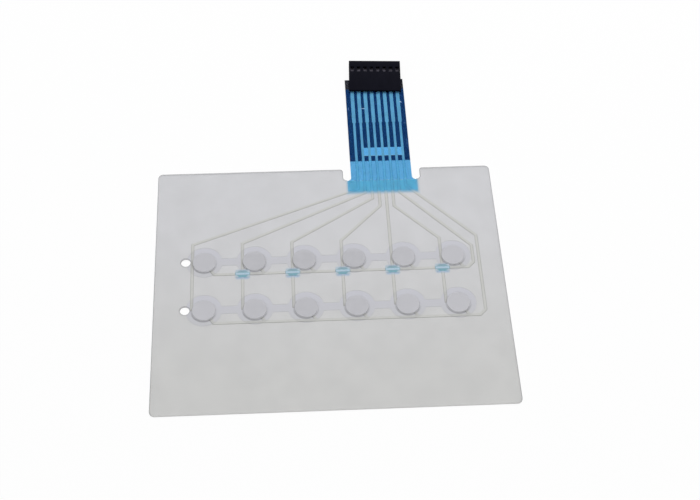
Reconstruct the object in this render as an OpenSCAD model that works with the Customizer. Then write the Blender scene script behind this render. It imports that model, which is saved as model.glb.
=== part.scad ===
// Membrane keypad: twelve snap-dome keys in two rows, a printed circuit between films, and a film tail
// that ends in a crimped 8-way socket. The panel lies flat with its rear face at Z = 0 and its centre at
// the origin. The tail leaves the rear edge towards +Y and rises to the height of the socket's film slot.

/* [Panel] */
// Width of the panel, left to right
panel_w = 123.9; // [118:0.1:150]
// Depth of the panel, from the front edge to the edge that the tail leaves
panel_d = 101.6; // [80:0.1:130]
// Radius of the panel's four outer corners
corner_r = 1.8; // [0.5:0.1:4]
// Radius of the two panel corners at the mouth of the tail notch
mouth_r = 1; // [0.3:0.1:1.5]
// Depth of the tail notch, measured from the panel's rear edge
notch_depth = 5.25; // [4:0.05:8]
// Gap between the tail and the panel on each side, inside the notch
notch_gap = 3; // [2.4:0.1:4]

/* [Layers] */
// Thickness of the paper release liner
liner_t = 0.1; // [0.06:0.01:0.2]
// Thickness of the adhesive on the panel's back
adhesive_t = 0.06; // [0.04:0.01:0.15]
// Thickness of the polyester film that carries the circuit
circuit_t = 0.125; // [0.075:0.005:0.175]
// Thickness of one printed pass of silver ink
print_t = 0.04; // [0.02:0.005:0.05]
// Thickness of the insulating print under a crossing trace
patch_t = 0.08; // [0.06:0.01:0.1]
// Thickness of the blue insulating coat on the tail
insulator_t = 0.08; // [0.06:0.01:0.12]
// Thickness of the adhesive spacer around the domes
spacer_t = 0.23; // [0.18:0.01:0.3]
// Thickness of the matte film on top
cover_t = 0.1; // [0.05:0.01:0.15]
// Thickness of the black film behind the tail
backing_t = 0.1; // [0.05:0.01:0.12]

/* [Keys] */
// Distance between neighbouring keys in a row
key_pitch = 17.78; // [16:0.01:18.5]
// Distance between the two rows of keys
row_pitch = 20.32; // [18:0.01:24]
// How far the middle of the keys lies behind the middle of the panel
keys_y = 0.17; // [-2:0.01:2]
// Diameter of a snap dome over its rim
dome_d = 8.4; // [7.5:0.1:9]
// Height of a snap dome from its rim's foot to its crown
dome_h = 0.5; // [0.45:0.01:0.6]
// Sheet thickness of a snap dome
dome_t = 0.08; // [0.05:0.01:0.1]
// Height of the steep skirt round a dome
skirt_h = 0.3; // [0.25:0.01:0.35]
// How far the dome's skirt leans in over its height
skirt_lean = 0.15; // [0.05:0.01:0.3]
// Clearance between a dome and the film boss formed over it
boss_gap = 0.03; // [0.02:0.01:0.06]
// Diameter of a round pocket in the spacer
pocket_d = 12.7; // [11:0.1:14]
// Width of the air channels that join the pockets of a row
channel_w = 3.1; // [1.5:0.1:4]
// Diameter of the vent hole at the left end of each row
vent_d = 3.4; // [2:0.1:3.6]
// Distance from the middle of the first key to the middle of the vent hole
vent_out = 6.6; // [6.6:0.05:8]

/* [Circuit] */
// Width of a printed trace
trace_w = 1.1; // [0.8:0.05:1.2]
// Width of the ring pad under a dome's rim
ring_w = 0.9; // [0.6:0.05:1.1]
// Diameter of the contact pad under a dome's crown
centre_pad_d = 2.6; // [2:0.1:3]
// Clearance beside the lead that passes through the opening of a ring pad
lead_gap = 0.4; // [0.3:0.05:0.6]
// Distance that a column trace runs to the left of its keys' middles
column_out = 4.25; // [4.15:0.05:4.4]
// Distance that a row trace runs in front of its keys' middles
row_drop = 5.35; // [5:0.05:6]
// Distance to the right of a key's middle at which its lead meets the row trace
lead_out = 3.5; // [2.5:0.1:4.5]
// Distance from the last key's middle out to the first trace that returns round it
return_out = 7.15; // [7:0.05:8]
// Distance between the two traces that return round the last key
return_pitch = 2.1; // [1.8:0.1:3]
// Distance behind the rear keys' middles at which the column traces turn to the tail
column_turn = 7.9; // [7:0.1:9]
// Distances behind the rear keys' middles at which the returning row traces turn to the tail
return_turn = [4.1, 8.5]; // [3:0.1:10]
// Distances in front of the notch at which traces 1 to 8 straighten towards the tail
fan_in = [3.8, 5.7, 8.4, 12, 12, 12.2, 5.8, 2.7]; // [2:0.1:14]
// Width of an insulating patch, along the row trace
patch_w = 5; // [3:0.1:6]
// Length of an insulating patch, along the column trace
patch_len = 2.9; // [2.5:0.1:3.6]

/* [Tail] */
// How far the tail's middle lies to the right of the panel's middle
tail_x = 21.45; // [-20:0.05:24]
// How far the die cut the tail and its notches off the middle of the ways, to the left
cut_shift = 0.2; // [0:0.05:0.4]
// Distance from the panel's rear edge to the back of the connector
tail_len = 37.6; // [30:0.05:80]
// Width of a silver trace along the tail
finger_w = 0.95; // [0.8:0.05:1.2]
// Width of the silver pads at the end of the tail
pad_w = 1.4; // [1.3:0.05:1.6]
// Length of the pads in front of the connector
pad_len = 15.05; // [8:0.05:20]
// How far the blue coat reaches into the panel from the notch
coat_reach = 5; // [3:0.1:7]
// How far the blue coat spreads past each side of the tail inside the panel
coat_spread = 1.6; // [0.5:0.1:2.5]
// Distance from the end of the blue coat to the first of the contacts' tines
coat_gap = 1.9; // [0.3:0.1:2.2]
// Distance from the panel's rear edge to the start of the black backing
backing_start = 4.15; // [1:0.05:10]
// Distance from the start of the backing to its window
window_in = 2.7; // [1.5:0.1:6]
// Length of the backing's window, along the tail
window_len = 4.1; // [2:0.1:8]

/* [Connector] */
// Distance between neighbouring ways of the tail and the connector
pitch = 2.54; // [2.54]
// Angle by which the crimped connector sits askew on the tail, clockwise seen from above
connector_skew = 2.4; // [0:0.1:3]
// Length of the connector housing
housing_len = 15.9; // [14.8:0.1:17]
// Height of the connector housing
housing_h = 2.92; // [2.8:0.02:3.4]
// Chamfer on the housing's long edges
housing_chamfer = 0.2; // [0.1:0.05:0.3]
// Depth to which the tail goes into the connector
insert_depth = 7.05; // [6.5:0.05:7.5]
// Clearance between the end of the tail and the end of the slot that takes it
slot_gap = 0.3; // [0.2:0.05:0.5]
// Height of the slot that takes the tail
slot_h = 1.1; // [1:0.05:1.2]
// Width and height of the cavity round each contact
cavity = 1.9; // [1.7:0.05:2]
// Thickness of the wall in front of the contacts
front_wall = 1.2; // [0.8:0.1:1.5]
// Width of the square entry for a pin
pin_entry = 1; // [0.8:0.05:1.2]
// Width of the lead-in chamfer round a pin entry
lead_in = 0.3; // [0.1:0.05:0.4]
// Width of a latch window
latch_w = 1.4; // [1:0.05:1.6]
// Length of a latch window
latch_len = 2.6; // [2.2:0.1:3]
// Distance from the connector's front to its latch windows
latch_in = 3.25; // [2.8:0.05:4]

/* [Contacts] */
// Sheet thickness of a contact
contact_t = 0.2; // [0.15:0.01:0.25]
// Width and height of a contact's box
box_w = 1.5; // [1.4:0.05:1.6]
// Length of a crimp tine along the tail
tine_len = 0.9; // [0.6:0.05:1]
// Distance between the two pairs of crimp tines
tine_pitch = 1.7; // [1.4:0.05:1.8]
// Length of the fold at the tip of a tine
tine_fold = 0.25; // [0.15:0.01:0.3]
// Clearance round a tine where it pierces the film
pierce_gap = 0.02; // [0.01:0.01:0.05]
// Distance from the last pair of tines to the end of the tail
end_margin = 0.6; // [0.5:0.1:1]
// Length of the sprung latch on a contact's roof
lance_len = 1.9; // [1.5:0.1:2.2]
// Width of the sprung latch
lance_w = 0.9; // [0.6:0.05:1]

/* [Hidden] */
$fn = 64;
cols = 6;
rows = 2;
ways = cols + rows;
stations = 14;
cut = 0.5;

tail_w = (ways + 1) * pitch;
strip_x = tail_x - cut_shift;
housing_w = ways * pitch;
notch_w = tail_w + 2 * notch_gap;
rear_y = panel_d / 2;
notch_y = rear_y - notch_depth;
connector_y = rear_y + tail_len;
tail_end_y = connector_y + insert_depth;
front_y = connector_y + housing_len;

// Heights of the layers, from the liner up
adhesive_z = liner_t;
circuit_z = adhesive_z + adhesive_t;
print_z = circuit_z + circuit_t;
spacer_z = print_z;
cover_z = spacer_z + spacer_t;
ring_t = 2 * print_t;
dome_z = print_z + ring_t;

// The tail rises in an S from the notch to the middle of the connector's height
slot_mid = housing_h / 2;
lift = slot_mid - circuit_t / 2 - circuit_z;
rise_start = notch_y + notch_gap / 2;
rise_end = connector_y - 1.4;
rise_curve = [
    for (i = [0 : stations])
        [rise_start + (rise_end - rise_start) * i / stations, lift * (1 - cos(180 * i / stations)) / 2]
];

// The crimp: a plate under the film, and tines through it that fold down on the pads
plate_z = circuit_z + lift - backing_t - contact_t;
pad_top_z = print_z + lift + print_t;
tine_x = pad_w / 2 - contact_t / 2 - 0.05;
crimp_y = tail_end_y - end_margin - tine_len - tine_pitch;
coat_end = crimp_y - coat_gap;
box_y = tail_end_y + 1.3;
box_end = front_y - front_wall - 0.1;
box_z = slot_mid - box_w / 2;
cavity_y = tail_end_y + slot_gap + housing_w / 2 * sin(connector_skew);
latch_y = front_y - latch_in - latch_len;

DOMES = [for (r = [1 : rows], c = [1 : cols]) str("dome_r", r, "_c", c)];
COLUMNS = [for (c = [1 : cols]) str("column_trace_", c)];
ROWS = [for (r = [1 : rows]) str("row_trace_", r)];
PATCHES = [for (c = [2 : cols]) str("crossover_patch_", c)];
CONTACTS = [for (w = [1 : ways]) str("contact_", w)];
FILMS = ["release_liner", "rear_adhesive", "circuit_film", "spacer", "cover_film"];
TAIL = ["tail_insulator", "tail_backing", "connector_housing"];

function key_x(c) = (c - (cols + 1) / 2) * key_pitch;
function key_y(r) = keys_y + ((rows + 1) / 2 - r) * row_pitch;
function column_x(c) = key_x(c) - column_out;
function row_y(r) = key_y(r) - row_drop;
function return_x(r) = key_x(cols) + return_out + (r - 1) * return_pitch;
function way_x(w) = tail_x + (w - (ways + 1) / 2) * pitch;
function fan_y(w) = notch_y - fan_in[w - 1];

// Centre lines of the printed traces, up to the point where the tail starts to rise
function column_path(c) = [
    [column_x(c), key_y(rows)],
    [column_x(c), key_y(1) + column_turn],
    [way_x(c), fan_y(c)],
    [way_x(c), rise_start]
];

// A row trace starts at its first key's centre pad, and the other keys' leads join it
function row_path(r) = [
    [key_x(1), key_y(r)],
    [key_x(1) + lead_out, row_y(r)],
    [return_x(r) - return_pitch, row_y(r)],
    [return_x(r), row_y(r) + return_pitch],
    [return_x(r), key_y(1) + return_turn[r - 1]],
    [way_x(cols + r), fan_y(cols + r)],
    [way_x(cols + r), rise_start]
];

function unit(v) = v / norm(v);
function left_of(v) = [-v[1], v[0]];
function heading(path, i) = unit(path[i + 1] - path[i]);

// A point of the outline, at a distance to the left of the path and mitred at its bends
function beside(path, i, distance) =
    let (last = len(path) - 1)
    let (before = left_of(heading(path, max(i - 1, 0))))
    let (after = left_of(heading(path, min(i, last - 1))))
    path[i] + distance * (before + after) / (1 + before * after);

// Outline of a band along the rising tail, between two heights in the flat panel
function band(y0, y1, low, high) =
    let (inner = [for (p = rise_curve) if (p[0] > y0 && p[0] < y1) p[0]])
    let (ys = concat([y0], inner, [y1]))
    let (count = len(ys))
    concat(
        [for (y = ys) [y, low + lookup(y, rise_curve)]],
        [for (i = [count - 1 : -1 : 0]) [ys[i], high + lookup(ys[i], rise_curve)]]
    );

module strip(path, width) {
    last = len(path) - 1;
    polygon(concat(
        [for (i = [0 : last]) beside(path, i, width / 2)],
        [for (i = [last : -1 : 0]) beside(path, i, -width / 2)]
    ));
}

// A strip of the tail, centred on x and following its rise
module tail_band(x, width, y0, y1, low, thickness) {
    translate([x - width / 2, 0, 0])
        rotate([90, 0, 90])
            linear_extrude(width)
                polygon(band(y0, y1, low, low + thickness));
}

module at_keys() {
    for (r = [1 : rows], c = [1 : cols])
        translate([key_x(c), key_y(r)])
            children();
}

module rounded_rectangle(width, depth, radius) {
    union() {
        square([width - 2 * radius, depth], center = true);
        square([width, depth - 2 * radius], center = true);
        for (x = [-1, 1], y = [-1, 1])
            translate([x * (width / 2 - radius), y * (depth / 2 - radius)])
                circle(radius);
    }
}

// What is cut off a square corner at the origin, which points to +X and +Y, to round it
module corner_waste(radius) {
    difference() {
        translate([-radius, -radius])
            square(radius + cut);
        translate([-radius, -radius])
            circle(radius);
        translate([-2 * radius, -2 * radius])
            square([radius, 2 * radius + cut]);
        translate([-2 * radius, -2 * radius])
            square([2 * radius + cut, radius]);
    }
}

module vent_holes() {
    for (r = [1 : rows])
        translate([key_x(1) - vent_out, key_y(r)])
            circle(d = vent_d);
}

module notch_mouth() {
    for (side = [-1, 1])
        translate([strip_x + side * notch_w / 2, rear_y])
            mirror([side > 0 ? 1 : 0, 0])
                corner_waste(mouth_r);
}

// Notch of the layers that stop short of the tail, with its two inner corners rounded
module wide_notch() {
    radius = notch_gap / 2;
    translate([strip_x, 0]) {
        translate([-notch_w / 2, notch_y + radius])
            square([notch_w, notch_depth]);
        translate([-notch_w / 2 + radius, notch_y])
            square([notch_w - 2 * radius, notch_depth]);
        for (side = [-1, 1])
            translate([side * (notch_w / 2 - radius), notch_y + radius])
                circle(radius);
    }
}

// Notches beside the tail of the circuit film, each with a fully round end
module side_notches() {
    radius = notch_gap / 2;
    for (side = [-1, 1])
        translate([strip_x + side * (tail_w / 2 + radius), notch_y + radius]) {
            circle(radius);
            translate([-radius, 0])
                square([notch_gap, notch_depth]);
        }
}

module panel_outline() {
    difference() {
        rounded_rectangle(panel_w, panel_d, corner_r);
        wide_notch();
        notch_mouth();
        vent_holes();
    }
}

// The circuit film as far as the tail is flat
module circuit_outline() {
    difference() {
        rounded_rectangle(panel_w, panel_d, corner_r);
        side_notches();
        notch_mouth();
        vent_holes();
        translate([strip_x - tail_w / 2 - cut, rise_start])
            square([tail_w + 2 * cut, notch_depth]);
    }
}

// Half section of a dome, filled from its foot to its crown
module dome_section(radius, lean, skirt, height) {
    crown_r = radius - lean;
    sag = height - skirt;
    sphere_r = (crown_r * crown_r + sag * sag) / (2 * sag);
    polygon([[0, 0], [radius, 0], [crown_r, skirt], [0, skirt]]);
    intersection() {
        translate([0, height - sphere_r])
            circle(sphere_r, $fn = 360);
        translate([0, skirt])
            square([crown_r, sag]);
    }
}

// A dome's outer form, grown on all sides by a distance
module dome_form(grown) {
    rotate_extrude()
        dome_section(dome_d / 2 + grown, skirt_lean, skirt_h + grown, dome_h + grown);
}

module dome(r, c) {
    color("lightsteelblue")
        translate([key_x(c), key_y(r), dome_z])
            difference() {
                dome_form(0);
                dome_form(-dome_t);
            }
}

module at_bosses() {
    at_keys()
        translate([0, 0, dome_z])
            children();
}

module cover_film() {
    sheet_cut = cover_z - dome_z;
    color("whitesmoke")
        difference() {
            union() {
                translate([0, 0, cover_z])
                    linear_extrude(cover_t)
                        panel_outline();
                at_bosses()
                    intersection() {
                        dome_form(boss_gap + cover_t);
                        translate([-dome_d, -dome_d, sheet_cut])
                            cube([2 * dome_d, 2 * dome_d, dome_h + cover_t]);
                    }
            }
            at_bosses()
                dome_form(boss_gap);
        }
}

// Everything in the spacer's plane that the spacer leaves free
module spacer_openings() {
    at_keys()
        circle(d = pocket_d);
    for (r = [1 : rows])
        translate([key_x(1), key_y(r) - channel_w / 2])
            square([key_x(cols) - key_x(1), channel_w]);
}

module spacer() {
    color("gainsboro")
        difference() {
            translate([0, 0, spacer_z])
                linear_extrude(spacer_t)
                    difference() {
                        panel_outline();
                        spacer_openings();
                    }
            translate([0, 0, print_z - cut])
                linear_extrude(cut + print_t) {
                    for (c = [1 : cols])
                        strip(column_path(c), trace_w);
                    for (r = [1 : rows])
                        row_print(r);
                }
            for (c = [2 : cols]) {
                patch_block(c, cut);
                bridge(c, cut);
            }
            coat_block(cut);
        }
}

module row_print(r) {
    strip(row_path(r), trace_w);
    for (c = [1 : cols])
        translate([key_x(c), key_y(r)])
            circle(d = centre_pad_d);
    for (c = [2 : cols])
        translate([key_x(c), key_y(r)])
            lead(trace_w);
}

// Straight lead from a key's centre pad to the row trace
module lead(width) {
    strip([[0, 0], [lead_out, -row_drop]], width);
}

module ring_pad() {
    difference() {
        circle(d = dome_d);
        circle(d = dome_d - 2 * ring_w);
        lead(trace_w + 2 * lead_gap);
    }
}

// The part of a trace on the tail: a finger that widens to a pad, pierced by its contact's tines
module tail_finger(w) {
    pad_y = connector_y - pad_len;
    tail_band(way_x(w), finger_w, rise_start, pad_y, print_z, print_t);
    difference() {
        tail_band(way_x(w), pad_w, pad_y, tail_end_y, print_z, print_t);
        pierced(w);
    }
}

module column_trace(c) {
    color("silver") {
        translate([0, 0, print_z])
            linear_extrude(print_t)
                strip(column_path(c), trace_w);
        for (r = [1 : rows])
            translate([key_x(c), key_y(r), print_z])
                linear_extrude(ring_t)
                    ring_pad();
        tail_finger(c);
    }
}

// The block that an insulating patch fills, or with reach below it, the room that it needs
module patch_block(c, reach) {
    translate([column_x(c) - patch_w / 2, row_y(1) - patch_len / 2, print_z - reach])
        cube([patch_w, patch_len, patch_t + reach]);
}

// The bridge that carries the row trace over a patch, with a leg at each end
module bridge(c, reach) {
    leg = 2 * print_t;
    translate([column_x(c) - patch_w / 2 - leg, row_y(1) - trace_w / 2, print_z - reach])
        cube([patch_w + 2 * leg, trace_w, patch_t + print_t + reach]);
}

module row_trace(r) {
    color("silver") {
        difference() {
            union() {
                translate([0, 0, print_z])
                    linear_extrude(print_t)
                        row_print(r);
                if (r == 1)
                    for (c = [2 : cols])
                        bridge(c, 0);
            }
            if (r == 1)
                for (c = [2 : cols])
                    patch_block(c, cut);
        }
        tail_finger(cols + r);
    }
}

module crossover_patch(c) {
    color("deepskyblue")
        difference() {
            patch_block(c, 0);
            translate([column_x(c) - trace_w / 2, row_y(1) - patch_len, print_z - cut])
                cube([trace_w, 2 * patch_len, print_t + cut]);
            translate([key_x(c), key_y(1), print_z - cut])
                linear_extrude(patch_t + 2 * cut)
                    ring_pad();
        }
}

module circuit_film() {
    color("aliceblue")
        difference() {
            union() {
                translate([0, 0, circuit_z])
                    linear_extrude(circuit_t)
                        circuit_outline();
                tail_band(strip_x, tail_w, rise_start, tail_end_y, circuit_z, circuit_t);
            }
            for (w = [1 : ways])
                pierced(w);
        }
}

// The blue coat inside the panel and between the notches
module coat_block(reach) {
    translate([0, 0, print_z - reach])
        linear_extrude(insulator_t + reach)
            intersection() {
                circuit_outline();
                translate([tail_x - tail_w / 2 - coat_spread, notch_y - coat_reach])
                    square([tail_w + 2 * coat_spread, coat_reach + notch_depth]);
            }
}

module tail_insulator() {
    color("dodgerblue", 0.8)
        difference() {
            union() {
                coat_block(0);
                tail_band(strip_x, tail_w, rise_start, coat_end, print_z, insulator_t);
            }
            translate([0, 0, print_z - cut])
                linear_extrude(cut + print_t) {
                    for (c = [1 : cols])
                        strip(column_path(c), trace_w);
                    for (r = [1 : rows])
                        strip(row_path(r), trace_w);
                }
            for (w = [1 : ways]) {
                tail_band(way_x(w), finger_w, rise_start, connector_y - pad_len, print_z - cut, print_t + cut);
                tail_band(way_x(w), pad_w, connector_y - pad_len, coat_end, print_z - cut, print_t + cut);
            }
        }
}

module tail_backing() {
    start = rear_y + backing_start;
    color("black")
        difference() {
            tail_band(strip_x, tail_w, start, tail_end_y, circuit_z - backing_t, backing_t);
            translate([way_x(2), start + window_in, -cut])
                cube([way_x(ways) - way_x(2), window_len, housing_h]);
            for (w = [1 : ways])
                pierced(w);
        }
}

module rear_adhesive() {
    color("ivory")
        translate([0, 0, adhesive_z])
            linear_extrude(adhesive_t)
                panel_outline();
}

module release_liner() {
    color("white")
        linear_extrude(liner_t)
            panel_outline();
}

// Side profile of the housing: a chamfered block with the film slot open at the tail's end
module housing_profile() {
    c = housing_chamfer;
    low = slot_mid - slot_h / 2;
    high = slot_mid + slot_h / 2;
    polygon([
        [connector_y + c, 0],
        [front_y - c, 0],
        [front_y, c],
        [front_y, housing_h - c],
        [front_y - c, housing_h],
        [connector_y + c, housing_h],
        [connector_y, housing_h - c],
        [connector_y, high + c],
        [connector_y + c, high],
        [cavity_y, high],
        [cavity_y, low],
        [connector_y + c, low],
        [connector_y, low - c],
        [connector_y, c]
    ]);
}

// Flared mouth of the pin entries: a taper in plan crossed with a taper in section
module pin_lead_ins() {
    half = pin_entry / 2;
    taper = [[half, -lead_in], [half + lead_in, 0], [half + lead_in, cut], [-half - lead_in, cut],
        [-half - lead_in, 0], [-half, -lead_in]];
    intersection() {
        linear_extrude(housing_h)
            for (w = [1 : ways])
                translate([way_x(w), front_y])
                    polygon(taper);
        translate([tail_x - housing_w / 2, front_y, slot_mid])
            rotate([90, 0, 90])
                linear_extrude(housing_w)
                    polygon([for (p = taper) [p[1], p[0]]]);
    }
}

// The connector and its contacts turn together about the middle of the housing's back
module skewed() {
    translate([tail_x, connector_y, 0])
        rotate(-connector_skew)
            translate([-tail_x, -connector_y, 0])
                children();
}

// What the contacts' tines need of the films and traces that they pierce
module pierced(w) {
    skewed()
        tines(w, pierce_gap);
}

module connector_housing() {
    color("dimgray")
        skewed()
            difference() {
                translate([tail_x - housing_w / 2, 0, 0])
                    rotate([90, 0, 90])
                        linear_extrude(housing_w)
                            housing_profile();
                for (w = [1 : ways]) {
                    translate([way_x(w) - cavity / 2, cavity_y - cut, slot_mid - cavity / 2])
                        cube([cavity, front_y - front_wall - cavity_y + cut, cavity]);
                    translate([way_x(w), front_y - front_wall / 2, slot_mid])
                        cube([pin_entry, front_wall + 2 * cut, pin_entry], center = true);
                    translate([way_x(w) - latch_w / 2, latch_y, slot_mid])
                        cube([latch_w, latch_len, housing_h]);
                }
                pin_lead_ins();
            }
}

// The upright parts of a contact's four tines, grown by a clearance to give the slots that they pierce
module tines(w, gap) {
    for (side = [-1, 1], pair = [0, 1])
        translate([way_x(w) + side * tine_x, crimp_y + pair * tine_pitch + tine_len / 2, 0])
            translate([-contact_t / 2 - gap, -tine_len / 2 - gap, plate_z])
                cube([contact_t + 2 * gap, tine_len + 2 * gap, pad_top_z + contact_t - plate_z]);
}

// Side profile of the strip that joins the crimp plate to the floor of the box
module contact_strip() {
    t = contact_t;
    step = plate_z - box_z;
    polygon([
        [crimp_y - t, plate_z],
        [tail_end_y + t, plate_z],
        [box_y - t, box_z],
        [box_end, box_z],
        [box_end, box_z + t],
        [box_y - t + step / 4, box_z + t],
        [tail_end_y + t + step / 4, plate_z + t],
        [crimp_y - t, plate_z + t]
    ]);
}

// Sprung latch: a tongue of the roof that stands up towards the tail
module contact_lance() {
    t = contact_t;
    roof = box_z + box_w;
    tip = latch_y + 0.1;
    polygon([
        [tip, housing_h - 0.3],
        [tip + lance_len, roof - t],
        [tip + lance_len + t, roof],
        [tip + t, housing_h - 0.1],
        [tip, housing_h - 0.1]
    ]);
}

module contact(w) {
    t = contact_t;
    color("goldenrod")
        skewed()
            translate([way_x(w), 0, 0]) {
                translate([-box_w / 2, 0, 0])
                    rotate([90, 0, 90])
                        linear_extrude(box_w)
                            contact_strip();
                difference() {
                    translate([-box_w / 2, box_y, box_z])
                        cube([box_w, box_end - box_y, box_w]);
                    translate([-box_w / 2 + t, box_y - cut, box_z + t])
                        cube([box_w - 2 * t, box_end - box_y + 2 * cut, box_w - 2 * t]);
                }
                translate([-lance_w / 2, 0, 0])
                    rotate([90, 0, 90])
                        linear_extrude(lance_w)
                            contact_lance();
                translate([-way_x(w), 0, 0])
                    tines(w, 0);
                for (side = [-1, 1], pair = [0, 1])
                    translate([side * tine_x, crimp_y + pair * tine_pitch, pad_top_z])
                        translate([side > 0 ? -t / 2 - tine_fold : t / 2, 0, 0])
                            cube([tine_fold, tine_len, t]);
            }
}

release_liner();
rear_adhesive();
circuit_film();
spacer();
cover_film();
tail_insulator();
tail_backing();
connector_housing();
for (r = [1 : rows], c = [1 : cols])
    dome(r, c);
for (c = [1 : cols])
    column_trace(c);
for (r = [1 : rows])
    row_trace(r);
for (c = [2 : cols])
    crossover_patch(c);
for (w = [1 : ways])
    contact(w);
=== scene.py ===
"""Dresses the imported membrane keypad: films over snap domes, printed silver, a blue tail and its socket.

The panel lies on its liner at Z = 0. A CAD node with one finish keeps its own mesh. Where a surface needs
more than one, a copy of the node stands for it, cut and sorted by face. A few printed edges of the copies
move by less than half a millimetre, to where the real ones lie.
"""

import logging
import math
from collections.abc import Iterable
from dataclasses import dataclass
from enum import Enum, IntEnum

import bmesh
import bpy
from mathutils import Matrix, Vector


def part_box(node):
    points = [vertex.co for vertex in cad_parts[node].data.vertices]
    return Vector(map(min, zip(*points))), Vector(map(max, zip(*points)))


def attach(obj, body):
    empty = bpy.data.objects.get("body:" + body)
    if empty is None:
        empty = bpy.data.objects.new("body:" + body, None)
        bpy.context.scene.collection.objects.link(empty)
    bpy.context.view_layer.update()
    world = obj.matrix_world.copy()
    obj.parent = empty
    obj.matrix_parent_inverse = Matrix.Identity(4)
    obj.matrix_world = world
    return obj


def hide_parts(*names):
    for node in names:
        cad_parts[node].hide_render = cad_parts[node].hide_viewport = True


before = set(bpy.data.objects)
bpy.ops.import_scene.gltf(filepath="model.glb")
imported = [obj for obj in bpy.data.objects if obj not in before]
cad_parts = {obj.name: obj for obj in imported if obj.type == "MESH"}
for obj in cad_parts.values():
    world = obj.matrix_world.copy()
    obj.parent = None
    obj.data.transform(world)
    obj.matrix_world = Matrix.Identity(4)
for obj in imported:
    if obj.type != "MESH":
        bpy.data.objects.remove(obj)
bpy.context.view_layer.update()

logging.basicConfig(level=logging.INFO, format="%(message)s")
log = logging.getLogger("keypad")

BODY = "root"
REARNESS = "rearness"

ALONG_X = Vector((1, 0, 0))
ALONG_Y = Vector((0, 1, 0))
UP = Vector((0, 0, 1))
ROWS = range(1, 3)
COLUMNS = range(1, 7)
WAYS = range(1, 9)

# Lengths, in metres. MERGE joins points, NEAR is the same place, and FILM_GAP parts two films that touch
MM = 0.001
MERGE = 0.0002 * MM
NEAR = 0.001 * MM
FILM_GAP = 0.004 * MM

# Where the tail leaves the panel, and how far the prints there and the traces before it lie to the left
TAIL_START = 45.55 * MM
PRINT_SHIFT = 0.2 * MM
LEAD_SHIFT = 0.33 * MM
LEAD_IN = (24 * MM, 34 * MM)
SLIDE_LENGTH = 1 * MM
SLIDE_MARGIN = 0.3 * MM
SLIDE_IN_PLUG = 2 * MM

# The share of a normal from which a face looks that way: clearly, or a little
CLEARLY = 0.5
LEANING = 0.3

# The two values between which most of a noise pattern lies
MID = (0.3, 0.7)

Color = tuple[float, float, float]
Place = tuple[float, float, float]
Pair = tuple[float, float]
Node = bpy.types.ShaderNode
Socket = bpy.types.NodeSocket
Value = float | Socket
Mesh = bmesh.types.BMesh
Face = bmesh.types.BMFace
Material = bpy.types.Material

WHITE = (1, 1, 1)


class Owner(Enum):
    """What a node graph belongs to."""

    MATERIAL = "Material"
    WORLD = "World"


class TraceKind(Enum):
    """What a printed trace joins."""

    COLUMN = "column"
    ROW = "row"


class Side(Enum):
    """The way that a face of a film looks."""

    TOP = "top"
    BOTTOM = "bottom"
    WALL = "wall"

    @staticmethod
    def of(face: Face) -> "Side":
        """Returns the side that a face belongs to, read from its normal.

        Args:
            face: the face.
        """
        if face.normal.z > CLEARLY:
            return Side.TOP
        if face.normal.z < -CLEARLY:
            return Side.BOTTOM
        return Side.WALL


class SheetFace(IntEnum):
    """The finishes of the circuit film's faces, in the order of its materials."""

    PANEL = 0
    TAIL = 1
    EDGE = 2
    BARE_END = 3
    FRONT_EDGE = 4


class CoverFace(IntEnum):
    """The finishes of the cover film's faces, in the order of its materials."""

    FLAT = 0
    UNDERSIDE = 1
    RIM = 2
    WALL = 3
    SKIRT = 4
    REAR_RIM = 5
    FRONT_WALL = 6


class InkFace(IntEnum):
    """The finishes of a trace's faces, in the order of its materials."""

    CORE = 0
    EDGE = 1
    FRONT_EDGE = 2
    UNDER_COAT = 3
    ON_PATCH = 4
    PATCH_EDGE = 5
    OVER_BLACK = 6


class CoatFace(IntEnum):
    """The finishes of the blue coat's faces, in the order of its materials."""

    STAINED = 0
    ON_PANEL = 1
    OVER_FLOOR = 2
    IN_WINDOW = 3


# Node graphs


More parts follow.
